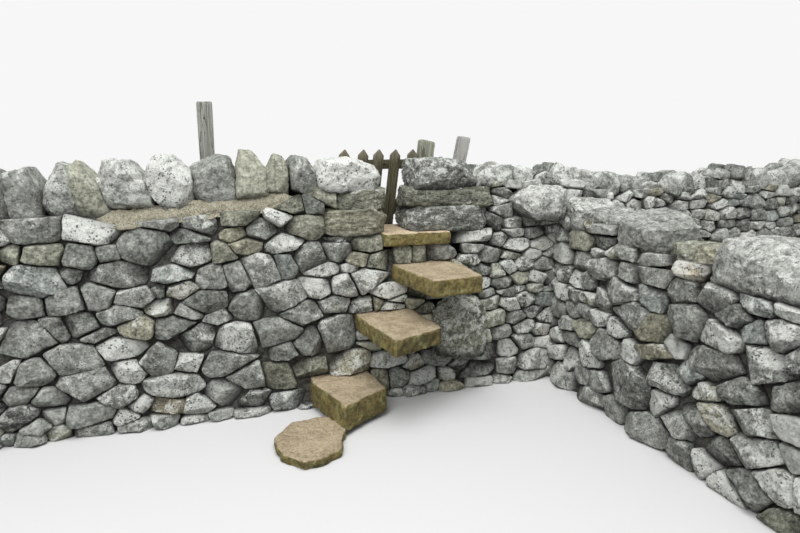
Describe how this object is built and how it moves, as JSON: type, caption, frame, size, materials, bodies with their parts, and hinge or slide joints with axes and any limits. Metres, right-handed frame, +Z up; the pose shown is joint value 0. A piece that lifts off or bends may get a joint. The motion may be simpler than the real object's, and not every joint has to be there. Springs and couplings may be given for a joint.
{
  "type": "stone wall stile",
  "caption": "Dry-stone wall stile with projecting through-slab steps up to a squeeze gap, a leaning wicket gate on its post and a cross wall.",
  "frame": {"origin": "on the ground under the middle of the squeeze gap, at the main wall's centre plane", "axes": "+X to the right along the main wall as the steps are faced, +Y through the wall into the field, +Z up"},
  "size_m": [5.9, 3.16, 1.815],
  "materials": {
    "wall_stone": "weathered limestone rubble with lichen",
    "coping_stone": "weathered limestone boulders with white lichen",
    "step_stone": "worn sandstone slab with ochre edges",
    "post_wood": "grey weathered sawn post",
    "gate_wood": "dark weathered timber with green algae",
    "hinge_iron": "rusted iron"
  },
  "bodies": {
    "root": {"left_wall": "wall_stone", "sill_wall": "wall_stone", "right_wall": "wall_stone", "far_wall": "wall_stone", "cross_wall": "wall_stone", "step_1": "step_stone", "step_2": "step_stone", "step_3": "step_stone", "threshold_slab": "step_stone", "ground_flagstone": "step_stone", "left_jamb_lower": "coping_stone", "left_jamb_upper": "coping_stone", "right_jamb_lower": "coping_stone", "right_jamb_upper": "coping_stone", "left_capstone": "coping_stone", "right_capstone": "coping_stone", "left_coping": "coping_stone", "right_coping": "coping_stone", "far_coping": "coping_stone", "cross_coping": "coping_stone", "corner_boulder": "coping_stone", "foot_boulder": "coping_stone", "hinge_post": "post_wood", "leaning_post": "post_wood", "fence_post": "post_wood", "upper_hook": "hinge_iron", "lower_hook": "hinge_iron"},
    "gate": {"pale_1": "gate_wood", "pale_2": "gate_wood", "pale_3": "gate_wood", "pale_4": "gate_wood", "pale_5": "gate_wood", "top_rail": "gate_wood", "bottom_rail": "gate_wood", "upper_strap": "hinge_iron", "lower_strap": "hinge_iron"}
  },
  "joints": [
    {"name": "gate_hinge", "type": "hinge", "parent": "root", "child": "gate", "pos_m": [0.26016, 0.394, 1.25], "axis": [-0.1201, 0, -0.9928], "range_deg": [0, 90]}
  ]
}
